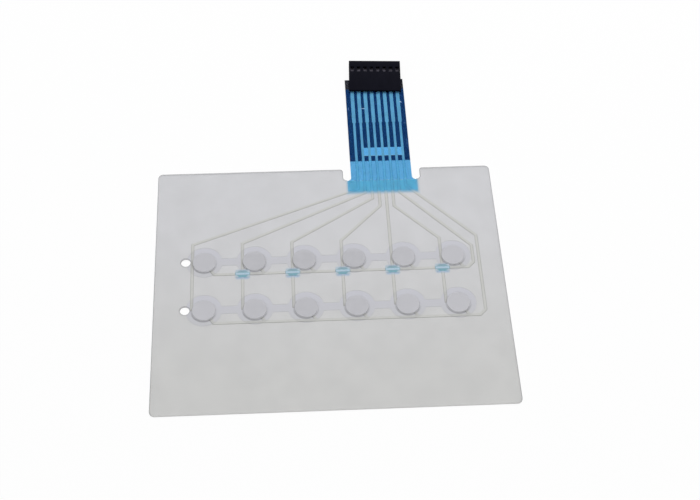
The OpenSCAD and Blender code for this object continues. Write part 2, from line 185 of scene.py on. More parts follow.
class Graph:
    """A node graph of a material or the world, with a short method for each kind of node that is used."""

    def __init__(self, name: str, kind: Owner = Owner.MATERIAL) -> None:
        """Starts an empty graph.

        Args:
            name: the name of the material or world.
            kind: which of the two it is.
        """
        self.owner = (bpy.data.worlds if kind is Owner.WORLD else bpy.data.materials).new(name)
        self.owner.use_nodes = True
        self.tree = self.owner.node_tree
        self.tree.nodes.clear()
        self.output = self.add("Output" + kind.value)

    def add(self, kind: str, **inputs: Value | Color) -> Node:
        """Adds a shader node and sets or links its inputs.

        Args:
            kind: the node's type, without its ShaderNode prefix.
            inputs: values or sockets, by the input's name with underscores for spaces.

        Returns:
            The new node.
        """
        node = self.tree.nodes.new("ShaderNode" + kind)
        for name, value in inputs.items():
            self.feed(node.inputs[name.replace("_", " ")], value)
        return node

    def feed(self, socket: Socket, value: Value | Color) -> None:
        """Links a socket to an input, or sets the input's own value.

        Args:
            socket: the input to feed.
            value: a socket, a number, or a colour of three or four numbers.
        """
        if isinstance(value, bpy.types.NodeSocket):
            self.tree.links.new(value, socket)
        elif isinstance(value, (int, float)):
            socket.default_value = value
        else:
            size = len(socket.default_value)
            socket.default_value = (*value, 1.0)[:size]

    def fed(self, node: Node, values: dict[int, Value | Color]) -> Node:
        """Feeds a node's inputs by their number and returns the node.

        Args:
            node: the node.
            values: values or sockets, by the input's number.
        """
        for number, value in values.items():
            self.feed(node.inputs[number], value)
        return node

    def place(self) -> Socket:
        """Returns the place on the piece, in metres in the part's own frame."""
        return self.add("TexCoord").outputs["Object"]

    def spot(self) -> tuple[Socket, Socket]:
        """Returns the X and Y of the place on the piece."""
        split = self.add("SeparateXYZ", Vector=self.place())
        return split.outputs["X"], split.outputs["Y"]

    def math(self, operation: str, a: Value, b: Value = 0.0, clamp: bool = False) -> Socket:
        """Adds a Math node.

        Args:
            operation: the operation's name in Blender.
            a: the first value.
            b: the second value.
            clamp: whether the result is kept between 0 and 1.

        Returns:
            The node's result.
        """
        node = self.add("Math")
        node.operation, node.use_clamp = operation, clamp
        return self.fed(node, {0: a, 1: b}).outputs[0]

    def times(self, a: Value, b: Value) -> Socket:
        """Returns the product of two values."""
        return self.math("MULTIPLY", a, b)

    def minus(self, a: Value, b: Value) -> Socket:
        """Returns the first value less the second."""
        return self.math("SUBTRACT", a, b)

    def apart(self, a: Value, b: Value = 0.0) -> Socket:
        """Returns how far a value lies from another, or from zero."""
        return self.math("ABSOLUTE", self.minus(a, b))

    def vector(self, operation: str, a: Socket | Place, b: Socket | Place = (0, 0, 0)) -> Socket:
        """Adds a Vector Math node.

        Args:
            operation: the operation's name in Blender.
            a: the first vector.
            b: the second vector.

        Returns:
            The node's vector, or its value for a dot product or a length.
        """
        node = self.add("VectorMath")
        node.operation = operation
        result = "Value" if operation in ("DOT_PRODUCT", "LENGTH") else "Vector"
        return self.fed(node, {0: a, 1: b}).outputs[result]

    def noise(self, size: float, detail: float = 2, stretch: Place = (1, 1, 1), fine: float = 0.5) -> Socket:
        """Adds a noise pattern on the piece.

        Args:
            size: the size of its spots, in metres.
            detail: how many finer layers it has.
            stretch: how many times longer the spots are along each axis.
            fine: how strong each finer layer is, as a share of the one before.

        Returns:
            The noise, from 0 to 1 with its middle at 0.5.
        """
        scale = tuple(1 / (size * longer) for longer in stretch)
        scaled = self.vector("MULTIPLY", self.place(), scale)
        pattern = self.add("TexNoise", Vector=scaled, Scale=1.0, Detail=detail, Roughness=fine)
        return pattern.outputs["Fac"]

    def ramp(self, value: Socket, low: float, high: float, start: float = 0.0, end: float = 1.0) -> Socket:
        """Maps a value from one range to another, smoothly and clamped.

        Args:
            value: what is mapped.
            low: the value that gives start.
            high: the value that gives end.
            start: the result at and before low.
            end: the result at and after high.

        Returns:
            The mapped value.
        """
        node = self.add("MapRange", Value=value, From_Min=low, From_Max=high, To_Min=start, To_Max=end)
        node.interpolation_type = "SMOOTHSTEP"
        return node.outputs["Result"]

    def blend(self, share: Value, a: Color | Socket, b: Color | Socket) -> Socket:
        """Mixes two colours.

        Args:
            share: how much of the second colour shows, from 0 to 1.
            a: the first colour.
            b: the second colour.

        Returns:
            The mixed colour.
        """
        node = self.add("Mix")
        node.data_type = "RGBA"
        return self.fed(node, {0: share, 6: a, 7: b}).outputs[2]

    def layered(self, share: Value, a: Socket, b: Socket) -> Socket:
        """Mixes two shaders, by the share of the second."""
        return self.fed(self.add("MixShader"), {0: share, 1: a, 2: b}).outputs[0]

    def mottled(self, color: Color, amount: float, size: float, detail: float = 3.0) -> Socket:
        """Varies a colour's brightness over the piece.

        Args:
            color: the middle colour.
            amount: the largest change, as a share of the colour.
            size: the size of the spots, in metres.
            detail: how many finer layers the spots have.

        Returns:
            The varied colour.
        """
        dark, light = gained(color, 1 - amount), gained(color, 1 + amount)
        return self.blend(self.ramp(self.noise(size, detail), *MID), dark, light)

    def surface(
        self,
        color: Socket,
        pattern: Socket,
        rough: Pair,
        depth: float = 0.0,
        height: Socket | None = None,
        span: Pair = MID,
        **inputs: Value,
    ) -> Socket:
        """Adds the shader of a surface whose roughness and bumps follow a pattern.

        Args:
            color: the surface's colour.
            pattern: the pattern, from 0 to 1.
            rough: the roughness where the pattern is low and where it is high.
            depth: the height of the bumps, in metres.
            height: the pattern of the bumps, where it is another one.
            span: the two values of the pattern between which the roughness changes.
            inputs: the shader's other inputs.

        Returns:
            The shader.
        """
        if depth:
            bumps = pattern if height is None else height
            inputs["Normal"] = self.add("Bump", Height=bumps, Distance=depth, Strength=1.0).outputs["Normal"]
        roughness = self.ramp(pattern, *span, *rough)
        return self.add("BsdfPrincipled", Base_Color=color, Roughness=roughness, **inputs).outputs[0]

    def show(self, shader: Socket) -> Material | bpy.types.World:
        """Puts a shader on the surface and returns the finished material or world."""
        self.feed(self.output.inputs["Surface"], shader)
        return self.owner


def gained(color: Color, gain: float) -> Color:
    """Returns a colour made brighter or darker by a factor."""
    return tuple(c * gain for c in color)


def about(middle: float, spread: float) -> Pair:
    """Returns the two values that lie as far below and above a middle one."""
    return middle - spread, middle + spread


# Finishes


@dataclass(frozen=True)
class FilmFinish:
    """A polyester film with a fine matte grain, clear or milky."""

    name: str
    color: Color
    alpha: float = 1.0
    roughness: float = 0.55
    mottle: float = 0.02
    mottle_size: float = 5 * MM
    grain: float = 0.18 * MM
    grain_depth: float = 0.0015 * MM
    specular: float = 0.5

    def material(self) -> Material:
        """Returns the film's material."""
        graph = Graph(self.name)
        shader = graph.surface(
            graph.mottled(self.color, self.mottle, self.mottle_size),
            graph.noise(self.grain),
            about(self.roughness, 0.05),
            self.grain_depth,
            span=(0.25, 0.75),
            Specular_IOR_Level=self.specular,
            Alpha=self.alpha,
        )
        return graph.show(shader)


@dataclass(frozen=True)
class KeyGrid:
    """Where the keys, their pockets and air channels, the crossing patches' haze and the coat lie."""

    key_pitch: float
    row_pitch: float
    keys_y: float
    half_row: float
    coat_x: float
    coat_half: float
    coat_y: float
    pocket_r: float = 6.35 * MM
    channel_half: float = 1.55 * MM
    patch_place: Pair = (-4.25 * MM, -5.6 * MM)
    patch_half: Pair = (1.7 * MM, 1.25 * MM)

    @staticmethod
    def measured() -> "KeyGrid":
        """Returns the keys' grid and the coat's place, from the boxes of the CAD nodes."""
        corners = (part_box("dome_r1_c1"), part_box(f"dome_r{ROWS[-1]}_c{COLUMNS[-1]}"))
        first, last = ((low + high) / 2 for low, high in corners)
        coat_low, coat_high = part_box("tail_insulator")
        return KeyGrid(
            key_pitch=(last.x - first.x) / (len(COLUMNS) - 1),
            row_pitch=first.y - last.y,
            keys_y=(first.y + last.y) / 2,
            half_row=last.x,
            coat_x=(coat_low.x + coat_high.x) / 2,
            coat_half=(coat_high.x - coat_low.x) / 2,
            coat_y=coat_low.y,
        )


@dataclass(frozen=True)
class Shade:
    """The shade round the domes and the blue haze round the coat and the patches, in one material's graph.

    The matte film blurs what lies below it, so the blue prints show a soft haze beyond their edges.
    """

    graph: Graph
    grid: KeyGrid
    soft: float = 0.25 * MM
    shadow_r: float = 4.34 * MM
    shadow_half: float = 0.52 * MM
    shadow_shift: float = 0.2 * MM
    shadow_lean: float = 0.15
    shadow_end: float = 0.2
    shadow_front: float = 0.48
    shadow_rear: float = 0.04
    shadow_color: Color = (0.05, 0.05, 0.06)
    coat_blur: float = 2.0 * MM
    coat_side: float = 0.9 * MM
    coat_haze: Color = (0.11, 0.37, 0.565)
    patch_blur: float = 1.3 * MM
    patch_haze: Color = (0.35, 0.49, 0.65)

    def from_key(self, value: Socket, middle: float, pitch: float) -> Socket:
        """Returns how far a value lies from the nearest key, where middle is halfway between two keys."""
        wrapped = self.graph.math("FLOORED_MODULO", self.graph.minus(value, middle), pitch)
        return self.graph.minus(wrapped, pitch / 2)

    def offsets(self) -> tuple[Socket, Socket, Socket]:
        """Returns how far a place lies from the nearest key along X and Y, and 1 where the keys are."""
        graph, grid = self.graph, self.grid
        x, y = graph.spot()
        dx = self.from_key(x, 0, grid.key_pitch)
        dy = self.from_key(y, grid.keys_y, grid.row_pitch)
        in_columns = graph.math("LESS_THAN", graph.apart(x), len(COLUMNS) / 2 * grid.key_pitch)
        in_rows = graph.math("LESS_THAN", graph.apart(y, grid.keys_y), grid.row_pitch)
        return dx, dy, graph.times(in_columns, in_rows)

    def away(self, dx: Socket, dy: Socket) -> Socket:
        """Returns the length of two distances at a right angle."""
        squares = (self.graph.math("POWER", distance, 2) for distance in (dx, dy))
        return self.graph.math("SQRT", self.graph.math("ADD", *squares))

    def inside(self, away: Socket, limit: float) -> Socket:
        """Returns 1 where a distance is under a limit, with a soft edge."""
        return self.graph.ramp(away, limit - self.soft, limit + self.soft, 1, 0)

    def pocket(self) -> Socket:
        """Returns 1 inside the spacer's pockets, with a soft edge."""
        dx, dy, in_grid = self.offsets()
        return self.graph.times(self.inside(self.away(dx, dy), self.grid.pocket_r), in_grid)

    def channel(self) -> Socket:
        """Returns 1 inside the spacer's air channels, with a soft edge."""
        graph, grid = self.graph, self.grid
        x, _ = graph.spot()
        _, dy, in_grid = self.offsets()
        channel = self.inside(graph.apart(dy), grid.channel_half)
        in_row = graph.math("LESS_THAN", graph.apart(x), grid.half_row)
        return graph.times(channel, graph.times(in_row, in_grid))

    def shadow(self) -> Socket:
        """Returns the strength of the contact shadow round a dome, which falls to the front."""
        graph = self.graph
        dx, dy, in_grid = self.offsets()
        away = self.away(dx, graph.math("ADD", dy, self.shadow_shift))
        ring = graph.ramp(graph.apart(away, self.shadow_r), 0, self.shadow_half, 1, 0)
        ahead = graph.math("ADD", dy, graph.times(dx, self.shadow_lean))
        reach = (-self.shadow_r, self.shadow_end * self.shadow_r)
        facing = graph.ramp(ahead, *reach, self.shadow_front, self.shadow_rear)
        return graph.times(graph.times(ring, facing), in_grid)

    def beyond_patch(self) -> Socket:
        """Returns the strength of the haze round the patches, on the rear row from its second key."""
        graph, grid = self.graph, self.grid
        x, y = graph.spot()
        dx, dy, in_grid = self.offsets()
        reach = (
            graph.math("MAXIMUM", graph.minus(graph.apart(offset, place), half), 0)
            for offset, place, half in zip((dx, dy), grid.patch_place, grid.patch_half)
        )
        haze = graph.ramp(self.away(*reach), 0, self.patch_blur, 1, 0)
        on_rear_row = graph.math("GREATER_THAN", y, grid.keys_y)
        crossed = graph.times(graph.math("GREATER_THAN", x, -2 * grid.key_pitch), on_rear_row)
        return graph.times(haze, graph.times(crossed, in_grid))

    def beyond_coat(self) -> tuple[Socket, Socket]:
        """Returns the strength of the haze in front of and beside the coat, and 1 below the coat."""
        graph, grid = self.graph, self.grid
        x, y = graph.spot()
        outside = graph.minus(graph.apart(x, grid.coat_x), grid.coat_half)
        in_front = graph.minus(grid.coat_y, y)
        reach = graph.math("MAXIMUM", in_front, graph.math("ADD", outside, self.coat_side))
        below = graph.times(graph.math("LESS_THAN", outside, 0), graph.math("LESS_THAN", in_front, 0))
        return graph.ramp(reach, 0, self.coat_blur, 1, 0), below

    def on(self, color: Color | Socket, haze: float = 1.0) -> Socket:
        """Returns a colour with the shade and the haze on it.

        Args:
            color: the plain colour.
            haze: how much of the blue haze shows on it.
        """
        graph = self.graph
        by_coat, _ = self.beyond_coat()
        color = graph.blend(graph.times(by_coat, haze), color, self.coat_haze)
        color = graph.blend(graph.times(self.beyond_patch(), haze), color, self.patch_haze)
        return graph.blend(self.shadow(), color, self.shadow_color)


@dataclass(frozen=True)
class CircuitBaseFinish:
    """The circuit film on its adhesive and liner, which looks duller where no spacer lies on it."""

    name: str
    grid: KeyGrid
    bonded_rear: Color = (0.662, 0.661, 0.681)
    bonded_front: Color = (0.645, 0.642, 0.628)
    # Inside the pockets the film is darker towards the front: painted shade, which the domes cast to the
    # front
    free_rear: Color = (0.585, 0.585, 0.635)
    shaded_free_front: Color = (0.562, 0.562, 0.588)
    under_coat: Color = (0.7, 0.7, 0.78)
    mist: Color = (0.45, 0.45, 0.45)
    shade_y: Pair = (-50 * MM, 40 * MM)
    cloud_size: float = 12 * MM
    cloud_share: float = 0.2

    def material(self) -> Material:
        """Returns the film's material."""
        graph, grid = Graph(self.name), self.grid
        shade = Shade(graph, grid)
        _, y = graph.spot()
        bonded = graph.blend(graph.ramp(y, *self.shade_y), self.bonded_front, self.bonded_rear)
        cloud = graph.ramp(graph.noise(self.cloud_size, 7, fine=0.65), *MID, 0, self.cloud_share)
        bonded = graph.blend(cloud, bonded, self.mist)
        _, dy, _ = shade.offsets()
        # Painted shade towards each pocket's front
        free = graph.blend(graph.ramp(dy, -grid.pocket_r, grid.pocket_r), self.shaded_free_front, self.free_rear)
        color = graph.blend(graph.math("MAXIMUM", shade.pocket(), shade.channel()), bonded, free)
        _, below_coat = shade.beyond_coat()
        color = graph.blend(below_coat, shade.on(color), self.under_coat)
        shader = graph.surface(color, graph.noise(2 * MM), (0.4, 0.5), Specular_IOR_Level=0.2)
        return graph.show(shader)


@dataclass(frozen=True)
class PaperFinish:
    """Coated paper or milky adhesive, with short fibres in its surface."""

    name: str
    color: Color
    roughness: float = 0.75
    fibre: float = 0.25 * MM
    fibre_depth: float = 0.004 * MM
    fibre_color: Color = (0.9, 0.9, 0.88)
    fibre_share: float = 0.12

    def material(self) -> Material:
        """Returns the paper's material."""
        graph = Graph(self.name)
        ways = ((6, 1, 1), (1, 5, 1))
        web = graph.math("MAXIMUM", *(graph.noise(self.fibre, 4, stretch=way) for way in ways))
        color = graph.mottled(self.color, 0.03, 9 * MM)
        shader = graph.surface(
            graph.blend(graph.ramp(web, 0.5, 0.8, 0, self.fibre_share), color, self.fibre_color),
            web,
            about(self.roughness, -0.08),
            self.fibre_depth,
            span=(0.3, 0.8),
            Specular_IOR_Level=0.2,
        )
        return graph.show(shader)


@dataclass(frozen=True)
class InkFinish:
    """A screen-printed ink with the fine texture of the mesh that it was pressed through."""

    name: str
    color: Color
    roughness: float = 0.5
    speckle: float = 0.05
    mesh_size: float = 0.12 * MM
    flake_size: float = 0.05 * MM
    depth: float = 0.002 * MM
    haze: float = 0.8
    pocket_dim: float = 0.12
    dim_color: Color = (0, 0, 0.05)

    def material(self, grid: KeyGrid | None = None) -> Material:
        """Returns the ink's material.

        Args:
            grid: the keys' grid, or none below the coat and on a patch, where no shade falls on the ink.
        """
        graph = Graph(self.name)
        color = graph.mottled(self.color, self.speckle, 0.4 * MM)
        if grid:
            shade = Shade(graph, grid)
            dim = graph.times(shade.pocket(), self.pocket_dim)
            color = shade.on(graph.blend(dim, color, self.dim_color), self.haze)
        threads = (graph.math("DIVIDE", value, self.mesh_size) for value in graph.spot())
        weave = graph.times(*(graph.math("PINGPONG", thread, 0.5) for thread in threads))
        flakes = graph.noise(self.flake_size)
        height = graph.math("ADD", graph.times(weave, 2.0), graph.times(flakes, 0.5))
        rough = about(self.roughness, 0.08)
        shader = graph.surface(color, flakes, rough, self.depth, height, Specular_IOR_Level=0.3)
        return graph.show(shader)


@dataclass(frozen=True)
class PatchFinish:
    """The blue insulating print, which is darker at its front edge and fades at its two ends.

    Its middle lies a little behind that of its haze.
    """

    name: str
    rear: Color
    front: Color
    front_y: float
    rear_y: float
    grid: KeyGrid
    end: Color = (0.47, 0.55, 0.62)
    end_reach: Pair = (1.8 * MM, 2.9 * MM)
    middle: Pair = (-4.25 * MM, -5.35 * MM)
    taper: float = 0.7
    fleck: Color = (0.35, 0.62, 0.75)
    fleck_share: float = 0.15

    def material(self) -> Material:
        """Returns the print's material, which shades from its front edge to its rear edge."""
        graph = Graph(self.name)
        _, y = graph.spot()
        dx, dy, _ = Shade(graph, self.grid).offsets()
        along, across = (graph.apart(offset, place) for offset, place in zip((dx, dy), self.middle))
        off_middle = graph.math("ADD", along, graph.times(across, self.taper))
        grain = graph.noise(0.15 * MM, 3)
        color = graph.blend(graph.ramp(y, self.front_y, self.rear_y), self.front, self.rear)
        color = graph.blend(graph.ramp(off_middle, *self.end_reach), color, self.end)
        color = graph.blend(graph.ramp(grain, 0.35, 0.75, 0, self.fleck_share), color, self.fleck)
        shader = graph.surface(color, grain, (0.35, 0.5), 0.002 * MM, Specular_IOR_Level=0.3)
        return graph.show(shader)


@dataclass(frozen=True)
class Scratch:
    """A pale scratch on the tail: two ends, half its width and how strongly it shows."""

    start: Pair
    end: Pair
    half_width: float
    strength: float


@dataclass(frozen=True)
class CoatFinish:
    """The translucent blue print on the tail: a stain that tints what lies below and hides it a little."""

    name: str
    tint: Color
    body: Color = (0.028, 0.155, 0.65)
    cover: float = 0.1
    roughness: float = 0.38
    scratches: tuple[Scratch, ...] = ()
    scratch_color: Color = (0.56, 0.8, 1.0)
    soft_sides: Pair | None = None
    soft_front: float = 0.0
    pale: Color = (0.55, 0.88, 0.94)
    side_blur: float = 1.3 * MM
    front_blur: float = 1.6 * MM
    front_share: float = 0.3

    def scratched(self, graph: Graph) -> Socket:
        """Returns where the coat is scratched, from 0 to 1.

        Args:
            graph: the coat's node graph.
        """
        place = graph.vector("MULTIPLY", graph.place(), (1, 1, 0))
        ragged = graph.ramp(graph.noise(0.35 * MM, 3), 0.35, 0.6)
        total: Value = 0.0
        for mark in self.scratches:
            start, along = Vector((*mark.start, 0)), Vector((*mark.end, 0)) - Vector((*mark.start, 0))
            offset = graph.vector("SUBTRACT", place, tuple(start))
            onward = graph.vector("DOT_PRODUCT", offset, tuple(along))
            share = graph.math("DIVIDE", onward, along.length_squared, True)
            foot = graph.vector("MULTIPLY", tuple(along), share)
            away = graph.vector("LENGTH", graph.vector("SUBTRACT", offset, foot))
            near = graph.ramp(away, mark.half_width * 0.4, mark.half_width * 1.4, mark.strength, 0)
            total = graph.math("MAXIMUM", total, near)
        return graph.times(total, ragged)

    def thinned(self, graph: Graph, tint: Socket) -> Socket:
        """Returns the tint, paler towards the coat's sides and front, where the print thins out.

        Args:
            graph: the coat's node graph.
            tint: the tint of the full coat.
        """
        if self.soft_sides is None:
            return tint
        x, y = graph.spot()
        left, right = self.soft_sides
        middle, half = (left + right) / 2, (right - left) / 2
        at_side = graph.ramp(graph.apart(x, middle), half - self.side_blur, half)
        at_front = graph.ramp(y, self.soft_front, self.soft_front + self.front_blur, self.front_share, 0)
        return graph.blend(graph.math("MAXIMUM", at_side, at_front), tint, self.pale)

    def material(self) -> Material:
        """Returns the coat's material."""
        graph = Graph(self.name)
        color = graph.mottled(self.body, 0.08, 2.5 * MM)
        tint = self.thinned(graph, graph.mottled(self.tint, 0.02, 3 * MM))
        share: Value = self.cover
        if self.scratches:
            worn = self.scratched(graph)
            color = graph.blend(worn, color, self.scratch_color)
            share = graph.math("MAXIMUM", worn, self.cover)
        rough = about(self.roughness, 0.06)
        body = graph.surface(color, graph.noise(0.22 * MM, 3), rough, 0.002 * MM, Specular_IOR_Level=0.1)
        return graph.show(graph.layered(share, graph.add("BsdfTransparent", Color=tint).outputs[0], body))


@dataclass(frozen=True)
class SteelFinish:
    """Rolled spring steel, with fine lines along the strip that the domes were punched from."""

    name: str
    color: Color
    roughness: float = 0.42
    line: float = 0.05 * MM
    # Painted highlight: the steel drawn brighter towards the rear of the dome, which faces the lamp
    rear_highlight: float = 1.0
    rear_reach: Pair = (0.45, 1.0)
    end_gain: float = 1.0
    end_reach: Pair = (10 * MM, 60 * MM)
    front_share: float = 0.3
    quiet: Pair = (-8 * MM, 10 * MM)
    mottle: float = 0.03
    mottle_size: float = 1.8 * MM

    def material(self) -> Material:
        """Returns the steel's material."""
        graph = Graph(self.name)
        lines = graph.noise(self.line, 3, stretch=(60, 1, 1))
        color = graph.mottled(self.color, self.mottle, self.mottle_size)
        color = graph.blend(graph.ramp(lines, 0.35, 0.65, 0, 0.5), color, gained(self.color, 0.9))
        if self.end_gain > 1:
            x, y = graph.spot()
            quiet_x, quiet_y = self.quiet
            forward = graph.ramp(y, quiet_y, -quiet_y, 0, self.front_share)
            share = graph.math("ADD", graph.ramp(graph.apart(x, quiet_x), *self.end_reach), forward, True)
            color = graph.blend(share, color, gained(self.color, self.end_gain))
        # Painted highlight towards the rear of the dome
        if self.rear_highlight > 1:
            rearness = graph.add("Attribute")
            rearness.attribute_name = REARNESS
            share = graph.ramp(rearness.outputs["Fac"], *self.rear_reach)
            color = graph.blend(share, color, gained(self.color, self.rear_highlight))
        shader = graph.surface(color, lines, about(self.roughness, 0.07), 0.0008 * MM, Metallic=1.0)
        return graph.show(shader)


@dataclass(frozen=True)
class MouldedFinish:
    """Black moulded nylon or black film: nearly black, with a spark-eroded satin grain."""

    name: str
    color: Color
    roughness: float = 0.5
    grain: float = 0.12 * MM
    grain_depth: float = 0.006 * MM
    specular: float = 0.05
    dust: float = 0.25

    def material(self) -> Material:
        """Returns the moulded surface's material."""
        graph = Graph(self.name)
        flow = graph.noise(2.2 * MM, 3, stretch=(1, 2.5, 1))
        pale = tuple(c * 1.8 + 0.002 for c in self.color)
        shader = graph.surface(
            graph.blend(graph.ramp(flow, 0.35, 0.75, 0, self.dust), self.color, pale),
            graph.noise(self.grain, 3),
            about(self.roughness, 0.08),
            self.grain_depth,
            Specular_IOR_Level=self.specular,
        )
        return graph.show(shader)


# Shared mesh work


def merged_copy(node: str) -> Mesh:
    """Returns a merged copy of a CAD node's mesh, which comes as loose triangles.

    Args:
        node: the CAD node's name.
    """
    mesh = bmesh.new()
    mesh.from_mesh(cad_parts[node].data)
    bmesh.ops.remove_doubles(mesh, verts=mesh.verts, dist=MERGE)
    return mesh


def joined_flats(mesh: Mesh, angle: float = 0.02) -> None:
    """Joins the triangles of each flat face, across edges that bend by less than an angle in degrees."""
    bmesh.ops.dissolve_limit(mesh, angle_limit=math.radians(angle), verts=mesh.verts, edges=mesh.edges)


def cut_at(mesh: Mesh, places: Iterable[float], way: Vector = ALONG_Y) -> None:
    """Cuts new edges into a mesh where it crosses each of some planes.

    Args:
        mesh: the mesh.
        places: where the planes lie.
        way: the planes' normal, along which the places are given.
    """
    for place in places:
        geometry = [*mesh.verts, *mesh.edges, *mesh.faces]
        bmesh.ops.bisect_plane(mesh, geom=geometry, dist=0.0001 * MM, plane_co=place * way, plane_no=way)


def parted(mesh: Mesh, sides: Iterable[Side], after: float = -math.inf) -> None:
    """Moves a film's faces inwards, off the faces that they lie on, by a few thousandths of a millimetre.

    Two clear faces in one place can't be told apart by a ray, so each film ends just short of its neighbour.

    Args:
        mesh: the film's mesh.
        sides: the sides that move, the top, the bottom or both.
        after: only points with a larger Y move.
    """
    for side in sides:
        faces = [face for face in mesh.faces if Side.of(face) is side]
        points = {point for face in faces for point in face.verts if point.co.y > after}
        inwards = -FILM_GAP if side is Side.TOP else FILM_GAP
        bmesh.ops.translate(mesh, verts=list(points), vec=(0, 0, inwards))


def outward(face: Face) -> Vector:
    """Returns the way that a rim face looks out: the normal of the walls that it meets, or zero."""
    neighbours = [other for edge in face.edges for other in edge.link_faces]
    return sum((other.normal for other in neighbours if Side.of(other) is Side.WALL), Vector()).normalized()


def slid_on_tail(mesh: Mesh) -> None:
    """Slides what is printed on the open tail to the left, off the middle of the connector's ways.

    The strip's own edges keep their place, and so does what lies in the panel or deep in the connector.

    Args:
        mesh: the mesh of a print, or of the coat over the prints.
    """
    start, end = TAIL_START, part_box("connector_housing")[0].y + SLIDE_IN_PLUG
    cut_at(mesh, (start, start + SLIDE_LENGTH, end))
    low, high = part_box("tail_backing")
    middle, reach = (low.x + high.x) / 2, (high.x - low.x) / 2 - SLIDE_MARGIN
    first, last = start + SLIDE_LENGTH - NEAR, end - NEAR
    points = [p for p in mesh.verts if first < p.co.y < last and abs(p.co.x - middle) < reach]
    bmesh.ops.translate(mesh, verts=points, vec=(-PRINT_SHIFT, 0, 0))


def slid_lead_in(mesh: Mesh, grid: KeyGrid) -> None:
    """Slides the traces to the left where they come to the tail, below the coat and less and less before it.

    Args:
        mesh: the mesh of a trace, or of the coat over the traces.
        grid: the keys' grid, which knows the coat's place.
    """
    start, end = LEAD_IN
    reach = grid.coat_half - SLIDE_LENGTH
    for point in mesh.verts:
        if start < point.co.y < TAIL_START + NEAR and abs(point.co.x - grid.coat_x) < reach:
            point.co.x -= LEAD_SHIFT * min((point.co.y - start) / (end - start), 1)


def smoothed(mesh: Mesh, angle: float) -> None:
    """Shades a mesh smooth, apart from its sharp edges.

    Args:
        mesh: the mesh.
        angle: the bend from which an edge is sharp, in degrees.
    """
    for face in mesh.faces:
        face.smooth = True
    for edge in mesh.edges:
        edge.smooth = edge.is_manifold and edge.calc_face_angle(0) < math.radians(angle)


def finished(name: str, mesh: Mesh, materials: list[Material], node: str) -> None:
    """Makes a piece of a mesh, and puts it on the keypad's body.

    Args:
        name: the piece's name.
        mesh: its mesh, whose faces already point to their materials.
        materials: its materials, in order.
        node: the CAD node that it stands for.
    """
    data = bpy.data.meshes.new(name)
    mesh.to_mesh(data)
    mesh.free()
    for material in materials:
        data.materials.append(material)
    piece = bpy.data.objects.new(name, data)
    bpy.context.scene.collection.objects.link(piece)
    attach(piece, BODY)
    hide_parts(node)
    log.info("%s: %d faces, stands for %s", name, len(data.polygons), node)


def dressed(node: str, material: Material) -> None:
    """Gives a CAD node that keeps its own mesh a better material.

    Args:
        node: the CAD node's name.
        material: the new material.
    """
    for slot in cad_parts[node].material_slots:
        slot.material = material
    log.info("%s: CAD node, dressed in %s", node, material.name)


# Sub-assemblies


